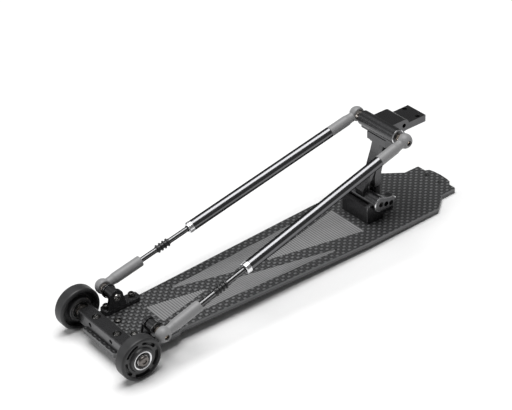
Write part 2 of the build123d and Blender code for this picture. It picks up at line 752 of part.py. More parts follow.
def box_between(x_span, half_y, z_span, mode=Mode.ADD):
    """Add or cut a box centred on the middle line, between two stations and two heights."""
    with Locations(station(sum(x_span) / 2, 0, sum(z_span) / 2)):
        Box(x_span[1] - x_span[0], 2 * half_y, z_span[1] - z_span[0], mode=mode)


def make_hinge_screws():
    """The four screws that hold the hinge block to the deck."""
    with BuildPart() as hinge_screws:
        for side in SIDES.values():
            for x in HINGE_SCREW_X:
                seat = DECK_TOP + HINGE_WALL
                depth = HINGE_WALL + DECK_T - SCREW_SHORT
                button_screw(x, side * HINGE_SCREW_Y, seat, HINGE_SCREW_SIZE, depth)
    finish(hinge_screws.part, "hinge_block_screws")


def cheek_outline():
    """Return the cheek plate's outline behind its rounded nose, from above the first hole to below it."""
    x, height = PIVOT
    return [
        (x, height + CHEEK_R),
        (183.2, 24.4),
        (185.2, 23.6),
        (187.3, 23.3),
        (189.3, 23.4),
        (191.4, 21.3),
        (189.8, 16.2),
        (x, height - CHEEK_R),
    ]


def make_cheek(name, side):
    """One cheek plate on the hinge block, with its row of three holes and its inboard gusset."""
    inner = side * HINGE_HALF_Y
    with BuildPart() as cheek:
        with BuildSketch(profile_plane(inner)):
            with Locations(PIVOT):
                Circle(CHEEK_R)
            with BuildLine():
                Polyline(cheek_outline(), close=True)
            make_face()
        extrude(amount=-side * CHEEK_T)
        chamfer(cheek.faces().sort_by(Axis.Y)[-1 if side > 0 else 0].edges(), CHEEK_CHAMFER)
        with BuildSketch(Plane(origin=station(0, 0, GUSSET_SPAN_Z[0]))):
            with BuildLine():
                tip = (GUSSET[1], inner - side * GUSSET_REACH)
                Polyline((GUSSET[0], inner), (GUSSET[1], inner), tip, close=True)
            make_face()
        extrude(amount=GUSSET_SPAN_Z[1] - GUSSET_SPAN_Z[0])
        for hole_x, hole_height in CHEEK_HOLES:
            outer = inner + side * (CHEEK_T + 1)
            cross_cylinder(hole_x, hole_height, inner - side * 4, outer, CHEEK_HOLE_R, Mode.SUBTRACT)
    finish(cheek.part, f"cheek_plate_{name}")


def make_pivot_pin():
    """The steel pin that the tower tilts on."""
    reach = HINGE_HALF_Y + PIN_REACH
    with BuildPart() as pivot_pin:
        cross_cylinder(*PIVOT, reach, -reach, PIN_R)
        chamfer(pivot_pin.edges().filter_by(GeomType.CIRCLE), PIN_CHAMFER)
    finish(pivot_pin.part, "pivot_pin")


def tower_outline():
    """Return the tower's side outline, from the pivot tube up the front and down the rear leg."""
    x, height = PIVOT
    return [
        (x - 4.0, height + 1.5),
        (x - 4.6, height + 5.6),
        (183.2, 37.2),
        (185.1, 42.8),
        (186.6, 46.8),
        (188.2, HEAD_BOTTOM - SEAT_T),
        (199.6, HEAD_BOTTOM - SEAT_T),
        (197.4, 50.4),
        (190.6, 38.1),
        (HEEL[1], 34.0),
        (HEEL[1], HEEL_BOTTOM),
        (HEEL[0], HEEL_BOTTOM),
        (HEEL[0], 33.2),
        (185.6, 36.0),
        (184.4, 35.6),
        (179.6, 27.4),
        (x + 0.5, height + 4.2),
    ]


def make_tower():
    """The upright: a tube at its foot, an A-shaped frame with relieved sides, and a seat on top."""
    x, height = PIVOT
    ear_in = HINGE_HALF_Y - HINGE_EAR_T - HINGE_GAP
    with BuildPart() as tower:
        with BuildSketch(profile_plane(TOWER_HALF_Y)):
            with BuildLine():
                Polyline(tower_outline(), close=True)
            make_face()
        extrude(amount=2 * TOWER_HALF_Y)
        for side in SIDES.values():
            depth = TOWER_HALF_Y - TOWER_WEB_HALF_Y
            extrude(relief_outline(side), amount=side * depth, mode=Mode.SUBTRACT)
        cross_cylinder(x, height, ear_in, -ear_in, FOOT_TUBE_R - FOOT_TUBE_FIT)
        cross_cylinder(x, height, ear_in + 1, -ear_in - 1, PIN_R + SLIDE_FIT, Mode.SUBTRACT)
        box_between(SEAT, SEAT_HALF_Y, (HEAD_BOTTOM - SEAT_T, HEAD_BOTTOM))
        for side in SIDES.values():
            for screw_x in SEAT_SCREWS:
                below = HEAD_BOTTOM - SEAT_T - 1
                screw_y = side * SEAT_SCREW_Y
                upright_cylinder(screw_x, screw_y, below, HEAD_BOTTOM + 1, SEAT_SCREW_BORE_R, Mode.SUBTRACT)
    finish(tower.part, "tower")


def relief_outline(side):
    """Return the shallow pocket in one side of the upright, which leaves a rim and a thin web."""
    corners = [(190.6, 51.6), (196.0, 51.6), (190.0, 39.4), (187.0, 39.4), (189.6, 47.0)]
    with BuildSketch(profile_plane(side * TOWER_HALF_Y)) as relief:
        with BuildLine():
            Polyline(corners, close=True)
        make_face()
        fillet(relief.vertices(), RELIEF_CORNER_R)
    return relief.sketch


def make_heel_bumper():
    """The rubber bumper on the hinge block's floor that the tower's rear leg rests on."""
    with BuildPart() as heel_bumper:
        upright_cylinder(BUMPER_X, 0.0, DECK_TOP + HINGE_WALL, BUMPER_TOP, BUMPER_R)
        chamfer(heel_bumper.faces().sort_by(Axis.Z)[-1].edges(), BUMPER_CHAMFER)
    finish(heel_bumper.part, "heel_bumper")


def make_head():
    """The tower head: a crossbar for the upper balls, a solid middle and a flange with two holes."""
    x, height = CROSSBAR
    eye_x, eye_height = HEAD_EYE
    with BuildPart() as head:
        cross_cylinder(x, height, CROSSBAR_END_Y, -CROSSBAR_END_Y, CROSSBAR_R)
        chamfer(head.edges().filter_by(GeomType.CIRCLE), CROSSBAR_CHAMFER)
        with BuildSketch(profile_plane(HEAD_HALF_Y)):
            with Locations((eye_x, eye_height)):
                Circle(HEAD_EYE_R)
            with BuildLine():
                Polyline(
                    (x, HEAD_BOTTOM),
                    (x, height + CROSSBAR_R - 0.5),
                    (x + 2.2, HEAD_TOP),
                    (eye_x, HEAD_TOP),
                    (eye_x, HEAD_BOTTOM),
                    close=True,
                )
            make_face()
        extrude(amount=2 * HEAD_HALF_Y)
        box_between(LEDGE, LEDGE_HALF_Y, (HEAD_BOTTOM, LEDGE_TOP))
        box_between((eye_x, FLANGE_END), FLANGE_HALF_Y, (FLANGE_TOP - FLANGE_T, FLANGE_TOP))
        cross_cylinder(eye_x, eye_height, HEAD_HALF_Y + 1, -HEAD_HALF_Y - 1, HEAD_EYE_BORE_R, Mode.SUBTRACT)
        for side in SIDES.values():
            hole_y = side * FLANGE_HOLE_Y
            below = FLANGE_TOP - FLANGE_T - 1
            upright_cylinder(FLANGE_HOLE_X, hole_y, below, FLANGE_TOP + 1, FLANGE_HOLE_R, Mode.SUBTRACT)
            near = side * (CROSSBAR_END_Y - UPPER_STUD_DEPTH - 0.5)
            cross_cylinder(x, height, near, side * (CROSSBAR_END_Y + 1), CROSSBAR_BORE_R, Mode.SUBTRACT)
            for screw_x in SEAT_SCREWS:
                screw_y = side * SEAT_SCREW_Y
                top = HEAD_BOTTOM + SEAT_SCREW_DEPTH + 0.4
                upright_cylinder(screw_x, screw_y, HEAD_BOTTOM - 1, top, SEAT_SCREW_BORE_R, Mode.SUBTRACT)
    finish(head.part, "tower_head")


def make_head_screws():
    """The four screws that hold the head down on the tower's seat, driven from below."""
    seat = HEAD_BOTTOM - SEAT_T
    head_r, head_t, shank_r = SEAT_SCREW_SIZE
    with BuildPart() as head_screws:
        for side in SIDES.values():
            for x in SEAT_SCREWS:
                upright_cylinder(x, side * SEAT_SCREW_Y, seat - head_t, seat, head_r)
                upright_cylinder(x, side * SEAT_SCREW_Y, seat, HEAD_BOTTOM + SEAT_SCREW_DEPTH, shank_r)
    finish(head_screws.part, "head_screws")


make_deck()
for panel in ("front", "rear", "left", "right"):
    make_window(panel)
make_deck_screws()
make_axle_block()
make_block_screws()
make_bracket_screws()
make_stud_nuts()
for side_name, side_sign in SIDES.items():
    make_wheel(side_name, side_sign)
    make_ball_bracket(side_name, side_sign)
    make_strut(side_name, side_sign)
    make_cheek(side_name, side_sign)
make_hinge_block()
make_hinge_screws()
make_pivot_pin()
make_heel_bumper()
make_tower()
make_head()
make_head_screws()
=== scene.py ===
"""The looks of a radio-controlled drag car's wheelie bar, built around its fixed CAD frame.

Every shape is worked out in millimetres in the frame's own axes: +X runs from the wheels to the tail,
+Y to the left, +Z up. A mesh is scaled to metres as its object is made.
"""
import json
import logging
import math
from collections.abc import Callable, Sequence
from dataclasses import dataclass
from enum import Enum

import bmesh
import bpy
from mathutils import Matrix, Vector


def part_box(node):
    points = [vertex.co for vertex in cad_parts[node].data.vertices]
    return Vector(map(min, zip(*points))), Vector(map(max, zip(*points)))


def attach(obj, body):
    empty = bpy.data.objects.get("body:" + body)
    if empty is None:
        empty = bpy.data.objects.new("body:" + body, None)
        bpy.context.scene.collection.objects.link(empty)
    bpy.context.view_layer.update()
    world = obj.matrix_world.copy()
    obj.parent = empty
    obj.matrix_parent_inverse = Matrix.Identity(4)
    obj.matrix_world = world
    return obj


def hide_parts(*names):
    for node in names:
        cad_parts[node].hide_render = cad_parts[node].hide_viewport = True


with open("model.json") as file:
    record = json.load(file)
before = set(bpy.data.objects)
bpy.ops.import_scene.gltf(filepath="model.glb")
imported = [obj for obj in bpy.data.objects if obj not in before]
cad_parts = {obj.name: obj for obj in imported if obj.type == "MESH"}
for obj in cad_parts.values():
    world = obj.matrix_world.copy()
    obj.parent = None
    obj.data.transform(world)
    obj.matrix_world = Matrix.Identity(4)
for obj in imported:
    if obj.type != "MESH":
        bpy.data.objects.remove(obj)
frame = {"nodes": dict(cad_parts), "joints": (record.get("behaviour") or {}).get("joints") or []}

LOG = logging.getLogger("wheelie_bar")
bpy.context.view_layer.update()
METRES = 0.001
ROUND_STEPS = 72
SMOOTH_UNDER = 34.0
JOINTS = {joint["name"]: joint for joint in frame["joints"]}

Pair = tuple[float, float]
Socket = bpy.types.NodeSocket


class Side(Enum):
    """The two sides of the object, with the sign of Y on each."""

    LEFT = 1
    RIGHT = -1

    @property
    def word(self) -> str:
        """The side's word in the names of nodes and bodies."""
        return self.name.lower()


class Grain(Enum):
    """Which way the ribs of a window panel run."""

    ALONG_DECK = "along"
    ACROSS_DECK = "across"


# ------------------------------------------------------------------------------------------
# Finishes
# ------------------------------------------------------------------------------------------


class NodeBoard:
    """A material's node tree, with short calls to add and link nodes."""

    def __init__(self, name: str) -> None:
        """Make an empty node material with a Principled shader.

        Args:
            name: The material's name.
        """
        self.material = bpy.data.materials.new(name)
        self.material.use_nodes = True
        self.tree = self.material.node_tree
        self.shader = self.tree.nodes["Principled BSDF"]

    def add(self, kind: str, **settings: object) -> bpy.types.Node:
        """Add a node and set its plain properties.

        Args:
            kind: The node's type name.
            **settings: Properties to set on it.

        Returns:
            The new node.
        """
        node = self.tree.nodes.new(kind)
        for key, value in settings.items():
            setattr(node, key, value)
        return node

    def link(self, source: Socket, target: Socket) -> None:
        """Join an output to an input."""
        self.tree.links.new(source, target)

    def math(self, operation: str, first: object, second: object = None) -> Socket:
        """Add a Math node whose inputs are sockets or numbers.

        Args:
            operation: The Math node's operation.
            first: The first input.
            second: The second input, if the operation has one.

        Returns:
            The node's output.
        """
        node = self.add("ShaderNodeMath", operation=operation)
        for socket, value in zip(node.inputs, (first, second)):
            if isinstance(value, Socket):
                self.link(value, socket)
            elif value is not None:
                socket.default_value = value
        return node.outputs[0]

    def place(self) -> Socket:
        """Return a socket with the point's place on the object, in metres."""
        return self.add("ShaderNodeTexCoord").outputs["Object"]

    def noise(self, scale: float, detail: float) -> Socket:
        """Add a noise pattern on the object's own place.

        Args:
            scale: Cycles per metre.
            detail: How many finer layers it has.

        Returns:
            A socket from 0 to 1.
        """
        texture = self.add("ShaderNodeTexNoise")
        texture.inputs["Scale"].default_value = scale
        texture.inputs["Detail"].default_value = detail
        self.link(self.place(), texture.inputs["Vector"])
        return texture.outputs["Fac"]

    def blend(self, factor: Socket, low: Sequence[float], high: Sequence[float]) -> None:
        """Drive the base colour between two colours.

        Args:
            factor: 0 gives the low colour, 1 the high one.
            low: The low colour.
            high: The high colour.
        """
        ramp = self.add("ShaderNodeMix", data_type="RGBA")
        self.link(factor, ramp.inputs[0])
        ramp.inputs[6].default_value = (*low, 1)
        ramp.inputs[7].default_value = (*high, 1)
        self.link(ramp.outputs[2], self.shader.inputs["Base Color"])

    def spread(self, factor: Socket, low: float, high: float, target: str) -> None:
        """Drive one shader input between two numbers by a 0 to 1 socket."""
        node = self.add("ShaderNodeMapRange")
        self.link(factor, node.inputs["Value"])
        node.inputs["To Min"].default_value = low
        node.inputs["To Max"].default_value = high
        self.link(node.outputs[0], self.shader.inputs[target])

    def bump(self, height: Socket, depth: float, strength: float = 1.0) -> None:
        """Raise the surface by a height pattern.

        Args:
            height: A socket from 0 to 1.
            depth: The height of 1, in metres.
            strength: The share of it that is used.
        """
        node = self.add("ShaderNodeBump")
        node.inputs["Distance"].default_value = depth
        node.inputs["Strength"].default_value = strength
        self.link(height, node.inputs["Height"])
        self.link(node.outputs[0], self.shader.inputs["Normal"])


@dataclass(frozen=True)
class Finish:
    """A plain finish with a fine grain: colour that drifts a little, uneven gloss and a slight relief."""

    name: str
    colour: tuple[float, float, float]
    drift: float
    roughness: float
    metallic: float = 0.0
    grain: float = 900.0
    relief: float = 0.00002
    edge_tint: float = 1.0

    @classmethod
    def metal(cls, *values: object, **others: float) -> "Finish":
        """Make a bare or anodised metal's finish."""
        return cls(*values, metallic=1.0, **others)

    def build(self) -> bpy.types.Material:
        """Build the finish as a node material."""
        board = NodeBoard(self.name)
        board.shader.inputs["Metallic"].default_value = self.metallic
        board.shader.inputs["Specular Tint"].default_value = (*(self.edge_tint,) * 3, 1)
        broad = board.noise(self.grain / 12.0, 3.0)
        fine = board.noise(self.grain, 4.0)
        low = [c * (1.0 - self.drift) for c in self.colour]
        high = [c * (1.0 + self.drift) for c in self.colour]
        board.blend(broad, low, high)
        board.spread(fine, self.roughness * 0.8, self.roughness * 1.25, "Roughness")
        board.bump(fine, self.relief, 0.6)
        return board.material


@dataclass(frozen=True)
class PlainWeave:
    """Plain-woven carbon under clear resin: the tows along the deck catch the light where they pass over,
    shown as a painted highlight on the tows' crowns in the base colour.
    """

    name: str
    pitch: float = 2.2
    # weft_share is the part of the painted highlight that the tows across the deck take.
    weft_share: float = 0.2
    dark: tuple[float, float, float] = (0.006, 0.006, 0.0065)
    # crown is the colour of the painted highlight on the tows' crowns; dark is the carbon's own near-black.
    crown: tuple[float, float, float] = (0.15, 0.152, 0.155)
    flank_power: float = 1.3
    rise_power: float = 0.6

    def build(self) -> bpy.types.Material:
        """Build the weave from the place on the deck."""
        board = NodeBoard(self.name)
        split = board.add("ShaderNodeSeparateXYZ")
        board.link(board.place(), split.inputs[0])
        per_metre = 1.0 / (self.pitch * METRES)
        wander = board.math("MULTIPLY", board.math("SUBTRACT", board.noise(60.0, 2.0), 0.5), 0.5)
        along = board.math("ADD", board.math("MULTIPLY", split.outputs[0], per_metre), wander)
        across = board.math("ADD", board.math("MULTIPLY", split.outputs[1], per_metre), wander)
        cells = board.math("ADD", board.math("FLOOR", along), board.math("FLOOR", across))
        weft = board.math("FLOORED_MODULO", cells, 2.0)
        warp = board.math("SUBTRACT", 1.0, weft)
        in_x = board.math("SUBTRACT", board.math("FRACT", along), 0.5)
        in_y = board.math("SUBTRACT", board.math("FRACT", across), 0.5)
        warp_crown = self.tow(board, in_x, in_y, warp)
        weft_crown = self.tow(board, in_y, in_x, weft)
        over = board.math("ADD", warp_crown, weft_crown)
        # glint is a painted highlight on the crowns: full on the tows along the deck, weft_share of it on the
        # tows across.
        glint = board.math("ADD", warp_crown, board.math("MULTIPLY", weft_crown, self.weft_share))
        fibre = board.noise(2500.0, 2.0)
        shade = board.math("MULTIPLY", glint, board.math("ADD", board.math("MULTIPLY", fibre, 0.7), 0.65))
        board.blend(shade, self.dark, self.crown)
        board.shader.inputs["Roughness"].default_value = 0.42
        board.shader.inputs["Coat Weight"].default_value = 0.35
        board.shader.inputs["Coat Roughness"].default_value = 0.2
        board.bump(over, 0.00022, 0.8)
        return board.material

    def tow(self, board: NodeBoard, length: Socket, width: Socket, here: Socket) -> Socket:
        """Shade one tow's crown inside its cell.

        Args:
            board: The material's nodes.
            length: The place along the tow, -0.5 to 0.5 in the cell.
            width: The place across the tow.
            here: 1 where this tow is the upper one.

        Returns:
            A socket from 0 in the gaps to 1 on the crown.
        """
        flank = board.math("COSINE", board.math("MULTIPLY", width, math.pi))
        flank = board.math("POWER", flank, self.flank_power)
        rise = board.math("COSINE", board.math("MULTIPLY", length, math.pi))
        rise = board.math("POWER", rise, self.rise_power)
        return board.math("MULTIPLY", board.math("MULTIPLY", flank, rise), here)


@dataclass(frozen=True)
class LaminateEdge:
    """The sawn edge of the carbon plate: thin plies, paler near the top."""

    name: str
    ply: float = 0.35
    dark: tuple[float, float, float] = (0.075, 0.076, 0.078)
    pale: tuple[float, float, float] = (0.17, 0.172, 0.175)

    def build(self) -> bpy.types.Material:
        """Build the plies from the height above the floor."""
        board = NodeBoard(self.name)
        split = board.add("ShaderNodeSeparateXYZ")
        board.link(board.place(), split.inputs[0])
        wander = board.math("MULTIPLY", board.noise(300.0, 3.0), 0.8)
        level = board.math("MULTIPLY", split.outputs[2], math.tau / (self.ply * METRES))
        turns = board.math("ADD", level, wander)
        plies = board.math("MULTIPLY", board.math("ADD", board.math("SINE", turns), 1.0), 0.5)
        low, high = (corner.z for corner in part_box("deck_plate"))
        height = board.math("DIVIDE", board.math("SUBTRACT", split.outputs[2], low), high - low)
        upper = board.math("GREATER_THAN", height, 0.55)
        mixed = board.math("ADD", board.math("MULTIPLY", plies, 0.35), board.math("MULTIPLY", upper, 0.6))
        board.blend(mixed, self.dark, self.pale)
        board.shader.inputs["Roughness"].default_value = 0.5
        board.bump(plies, 0.00003, 0.6)
        return board.material


FINISHES = {
    "anodised": Finish.metal(
        "Black anodised", (0.105, 0.105, 0.108), 0.12, 0.28,
        grain=2200.0, relief=0.000003,
    ),
    "tube": Finish.metal(
        "Black anodised tube", (0.15, 0.15, 0.155), 0.1, 0.2,
        grain=1500.0, relief=0.000002, edge_tint=0.0,
    ),
    "rod": Finish.metal(
        "Dark steel rod", (0.13, 0.13, 0.132), 0.1, 0.25,
        grain=2400.0, relief=0.000003, edge_tint=0.1,
    ),
    "edge": Finish.metal(
        "Bright cut edge", (0.86, 0.86, 0.87), 0.05, 0.26,
        grain=3000.0, relief=0.000003,
    ),
    "steel": Finish.metal(
        "Ground steel", (0.42, 0.41, 0.40), 0.12, 0.24,
        grain=2400.0, relief=0.000004,
    ),
    "ball": Finish.metal(
        "Polished ball", (0.86, 0.80, 0.74), 0.05, 0.14,
        grain=1200.0, relief=0.000002,
    ),
    "black_steel": Finish.metal(
        "Black steel", (0.10, 0.098, 0.095), 0.2, 0.27,
        grain=2000.0, relief=0.000004,
    ),
    "bolt": Finish.metal(
        "Browned steel", (0.17, 0.155, 0.145), 0.2, 0.32,
        grain=2000.0, relief=0.000006,
    ),
    "wheel": Finish("Moulded black wheel", (0.032, 0.032, 0.033), 0.15, 0.34, grain=1800.0, relief=0.00001),
    "tyre": Finish("Tyre rubber", (0.022, 0.022, 0.023), 0.3, 0.44, grain=1300.0, relief=0.00003),
    "stop": Finish("Soft rubber", (0.016, 0.016, 0.017), 0.3, 0.35, grain=1500.0, relief=0.00001),
    "grey": Finish("Moulded grey nylon", (0.25, 0.25, 0.253), 0.06, 0.46, grain=1600.0, relief=0.000015),
    "white": Finish("White acetal", (0.84, 0.84, 0.83), 0.03, 0.35, grain=1200.0, relief=0.00001),
    "rib": Finish("Grey panel rib", (0.25, 0.25, 0.252), 0.12, 0.5, grain=1400.0, relief=0.00001),
    # The darker grey between the panel ribs is painted shade in the grooves.
    "groove": Finish("Grey panel groove", (0.12, 0.12, 0.122), 0.12, 0.55, grain=1400.0, relief=0.00001),
    "seal": Finish("Bearing seal", (0.012, 0.012, 0.012), 0.2, 0.5, grain=2000.0),
    "weave": PlainWeave("Woven carbon"),
    "plies": LaminateEdge("Sawn carbon edge"),
}


class Paintbox:
    """Builds each finish once and hands it out by its key."""

    def __init__(self) -> None:
        """Start with nothing built."""
        self.built: dict[str, bpy.types.Material] = {}

    def __getitem__(self, key: str) -> bpy.types.Material:
        """Return the material for a finish, building it the first time."""
        if key not in self.built:
            self.built[key] = FINISHES[key].build()
        return self.built[key]


PAINTS = Paintbox()


# ------------------------------------------------------------------------------------------
# Shaping
# ------------------------------------------------------------------------------------------


class Shape:
    """A mesh being shaped, in millimetres."""

    def __init__(self) -> None:
        """Start with an empty mesh."""
        self.mesh = bmesh.new()

    @classmethod
    def turned(cls, profile: Sequence[Pair], closed: bool = False, steps: int = ROUND_STEPS) -> "Shape":
        """Turn a half-section about Z, as on a lathe.

        Args:
            profile: (place along the axis, radius) pairs.
            closed: Whether the last point joins the first, for a ring. Otherwise both ends lie on the axis.
            steps: How many faces go round.

        Returns:
            The turned shape.
        """
        shape = cls()
        mesh = shape.mesh
        verts = [mesh.verts.new((radius, 0.0, along)) for along, radius in profile]
        edges = [mesh.edges.new(pair) for pair in zip(verts, verts[1:])]
        if closed:
            edges.append(mesh.edges.new((verts[-1], verts[0])))
        bmesh.ops.spin(
            mesh, geom=verts + edges, cent=(0, 0, 0), axis=(0, 0, 1), angle=math.tau, steps=steps,
            use_merge=True,
        )
        return shape.tidied()

    @classmethod
    def prism(cls, corners: Sequence[Pair], depth: float) -> "Shape":
        """Raise an outline in the XY plane along Z.

        Args:
            corners: The outline's corners.
            depth: How far it is raised.

        Returns:
            The closed prism.
        """
        shape = cls()
        mesh = shape.mesh
        face = mesh.faces.new([mesh.verts.new((x, y, 0.0)) for x, y in corners])
        raised = bmesh.ops.extrude_face_region(mesh, geom=[face])["geom"]
        top = [part for part in raised if isinstance(part, bmesh.types.BMVert)]
        bmesh.ops.translate(mesh, verts=top, vec=(0, 0, depth))
        return shape.tidied()

    @classmethod
    def copied(cls, node: str) -> "Shape":
        """Copy a CAD node's mesh, merged and with its flat faces whole.

        Args:
            node: The CAD node's name.

        Returns:
            The copy.
        """
        shape = cls()
        mesh = shape.mesh
        mesh.from_mesh(frame["nodes"][node].data)
        bmesh.ops.scale(mesh, vec=(1 / METRES,) * 3, verts=mesh.verts[:])
        bmesh.ops.remove_doubles(mesh, verts=mesh.verts[:], dist=0.002)
        flat = math.radians(0.8)
        bmesh.ops.dissolve_limit(mesh, angle_limit=flat, verts=mesh.verts[:], edges=mesh.edges[:])
        return shape

    def tidied(self) -> "Shape":
        """Merge coinciding points and turn every face outwards."""
        bmesh.ops.remove_doubles(self.mesh, verts=self.mesh.verts[:], dist=0.0005)
        bmesh.ops.recalc_face_normals(self.mesh, faces=self.mesh.faces[:])
        return self

    def rounded(self, width: float, segments: int = 2, over: float = 28.0) -> "Shape":
        """Round every edge that is sharper than an angle.

        Args:
            width: How far the rounding reaches into each face.
            segments: How many facets it has.
            over: The smallest angle between faces that counts as sharp, in degrees.

        Returns:
            The same shape.
        """
        limit = math.radians(over)
        sharp = [edge for edge in self.mesh.edges if edge.is_manifold and edge.calc_face_angle(0.0) > limit]
        bmesh.ops.bevel(
            self.mesh, geom=sharp, offset=width, offset_type="OFFSET", segments=segments, profile=0.5,
            affect="EDGES", clamp_overlap=True, material=-1,
        )
        return self

    def hexed(self, radius: float) -> "Shape":
        """Turn every ring of points at a radius about Z into a hexagon of that corner radius."""
        flat = math.cos(math.pi / 6)
        for vert in self.mesh.verts:
            reach = math.hypot(vert.co.x, vert.co.y)
            if abs(reach - radius) < 0.001:
                turn = math.atan2(vert.co.y, vert.co.x) % (math.pi / 3) - math.pi / 6
                vert.co.x *= flat / math.cos(turn)
                vert.co.y *= flat / math.cos(turn)
        return self

    def placed(self, origin: Sequence[float], direction: Sequence[float] = (0, 0, 1)) -> "Shape":
        """Turn the shape's Z axis to a direction and move its origin to a point."""
        turn = Vector(direction).to_track_quat("Z", "Y").to_matrix().to_4x4()
        move = Matrix.Translation(Vector(origin))
        bmesh.ops.transform(self.mesh, matrix=move @ turn, verts=self.mesh.verts[:])
        return self

    def joined(self, *others: "Shape") -> "Shape":
        """Take other shapes into this one as they stand."""
        for other in others:
            loose = bpy.data.meshes.new("joining")
            other.mesh.to_mesh(loose)
            self.mesh.from_mesh(loose)
            bpy.data.meshes.remove(loose)
        return self

    def painted(self, slot: int, test: Callable[[bmesh.types.BMFace], bool]) -> "Shape":
        """Give a material slot to every face that passes a test."""
        for face in self.mesh.faces:
            if test(face):
                face.material_index = slot
        return self

    def cut(self, point: Sequence[float], normal: Sequence[float]) -> "Shape":
        """Cut away what lies beyond a plane, on its normal's side, and close the cut."""
        everything = self.mesh.verts[:] + self.mesh.edges[:] + self.mesh.faces[:]
        bmesh.ops.bisect_plane(self.mesh, geom=everything, plane_co=point, plane_no=normal, clear_outer=True)
        bmesh.ops.holes_fill(self.mesh, edges=[edge for edge in self.mesh.edges if edge.is_boundary], sides=0)
        return self

    def melted(self, grain: float, passes: int) -> "Shape":
        """Fuse overlapping solids into one skin and soften it, as a moulding is.

        Args:
            grain: The size of the skin's faces.
            passes: How many times it is smoothed.

        Returns:
            The fused shape.
        """
        rough = bpy.data.meshes.new("melting")
        self.mesh.to_mesh(rough)
        holder = bpy.data.objects.new("melting", rough)
        bpy.context.scene.collection.objects.link(holder)
        remesh = holder.modifiers.new("fuse", "REMESH")
        remesh.mode = "VOXEL"
        remesh.voxel_size = grain
        fused = bpy.data.meshes.new_from_object(holder.evaluated_get(bpy.context.evaluated_depsgraph_get()))
        bpy.data.objects.remove(holder)
        self.mesh.clear()
        self.mesh.from_mesh(fused)
        for _ in range(passes):
            bmesh.ops.smooth_vert(
                self.mesh, verts=self.mesh.verts[:], factor=0.5, use_axis_x=True, use_axis_y=True,
                use_axis_z=True,
            )
        return self

    def made(
        self, name: str, body: str, slot: str, finishes: Sequence[str], nodes: Sequence[str] = (),
        smooth_under: float = SMOOTH_UNDER,
    ) -> None:
        """Finish the shape as an object on its body.

        Args:
            name: The piece's name.
            body: The CAD body that it rides on.
            slot: The record's material slot; not used.
            finishes: The keys of its finishes, in slot order.
            nodes: The CAD nodes that it stands for.
            smooth_under: The largest angle between faces that is shaded as one, in degrees.
        """
        bmesh.ops.scale(self.mesh, vec=(METRES,) * 3, verts=self.mesh.verts[:])
        data = bpy.data.meshes.new(name)
        self.mesh.to_mesh(data)
        self.mesh.free()
        data.shade_smooth()
        data.set_sharp_from_angle(angle=math.radians(smooth_under))
        for key in finishes:
            data.materials.append(PAINTS[key])
        piece = bpy.data.objects.new(name, data)
        bpy.context.scene.collection.objects.link(piece)
        even = piece.modifiers.new("even shading", "WEIGHTED_NORMAL")
        even.keep_sharp = True
        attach(piece, body)
        if nodes:
            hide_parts(*nodes)
        LOG.info("%s on %s: %d faces", name, body, len(data.polygons))

    def replacing(
        self, node: str, body: str, slot: str, finishes: Sequence[str], smooth_under: float = SMOOTH_UNDER
    ) -> None:
        """Finish the shape as the piece that stands for one CAD node and is named after it."""
        self.made(f"{node}_finished", body, slot, finishes, [node], smooth_under)


def refined(node: str, body: str, width: float) -> None:
    """Stand a black anodised copy of a CAD node, with rounded edges, in its place.

    Args:
        node: The CAD node.
        body: The body that it rides on.
        width: The width of the rounding.
    """
    Shape.copied(node).rounded(width).replacing(node, body, "black_anodised", ["anodised"])


def in_millimetres(point: Sequence[float]) -> Vector:
    """Turn a point of the frame from metres to millimetres."""
    return Vector(point) / METRES


def node_span(node: str) -> tuple[Vector, Vector]:
    """Return a CAD node's lowest and highest corners, in millimetres."""
    low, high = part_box(node)
    return low / METRES, high / METRES


@dataclass
class SocketScrew:
    """A button-head screw with a hex socket, head up along its direction."""

    head_r: float
    head_t: float
    shank_r: float
    depth: float

    def shape(self, seat: Sequence[float], direction: Sequence[float] = (0, 0, 1)) -> Shape:
        """Build the screw with the underside of its head on a seat.

        Args:
            seat: The middle of the head's underside.
            direction: Which way the head points.

        Returns:
            The screw's shape.
        """
        socket_r = self.head_r * 0.5
        crown = [
            (self.head_t * 0.35, self.head_r),
            (self.head_t * 0.72, self.head_r * 0.9),
            (self.head_t, self.head_r * 0.66),
            (self.head_t, socket_r),
            (self.head_t * 0.4, socket_r),
        ]
        profile = [(-self.depth, 0.0), (-self.depth, self.shank_r), (0.0, self.shank_r), (0.0, self.head_r)]
        profile += crown + [(self.head_t * 0.3, 0.0)]
        screw = Shape.turned(profile, steps=48).hexed(socket_r)
        return screw.rounded(0.1, over=35.0).placed(seat, direction)


# ------------------------------------------------------------------------------------------
# Sub-assemblies
# ------------------------------------------------------------------------------------------


